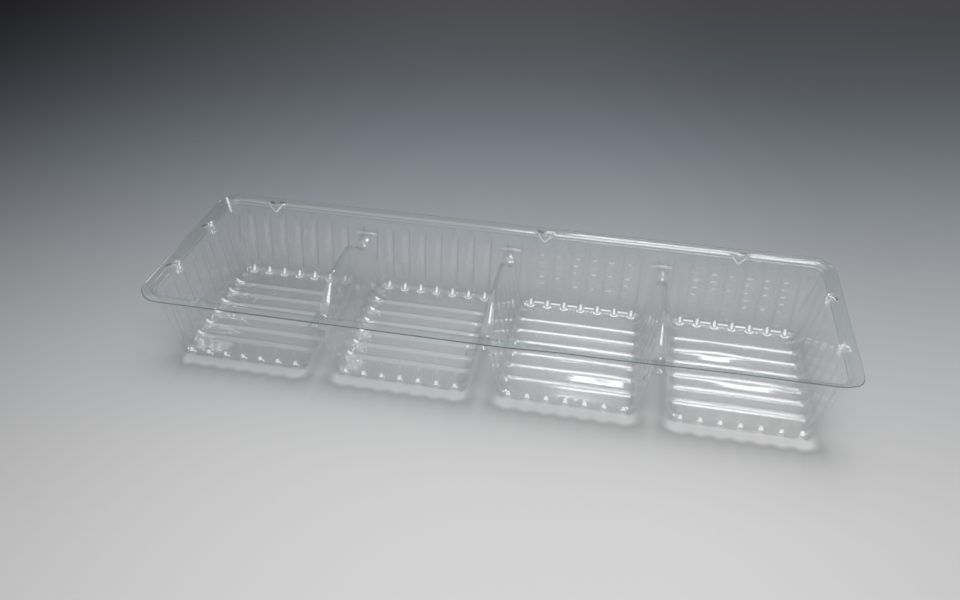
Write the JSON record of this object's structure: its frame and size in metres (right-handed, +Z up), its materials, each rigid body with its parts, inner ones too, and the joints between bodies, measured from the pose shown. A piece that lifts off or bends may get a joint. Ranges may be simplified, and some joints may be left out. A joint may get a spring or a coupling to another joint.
{
  "type": "blister tray",
  "caption": "Clear vacuum-formed blister tray: a row of deep ribbed cells with low saddle dividers, a flat flange round the mouth and small stacking lugs.",
  "frame": {"origin": "middle of the tray on the plane that the cells' floors stand on", "axes": "+X along the row of cells, +Z up out of the cells"},
  "size_m": [0.254, 0.0802, 0.0321],
  "materials": {
    "clear_sheet": "gloss"
  },
  "bodies": {
    "root": {"tray": "clear_sheet"}
  },
  "joints": []
}
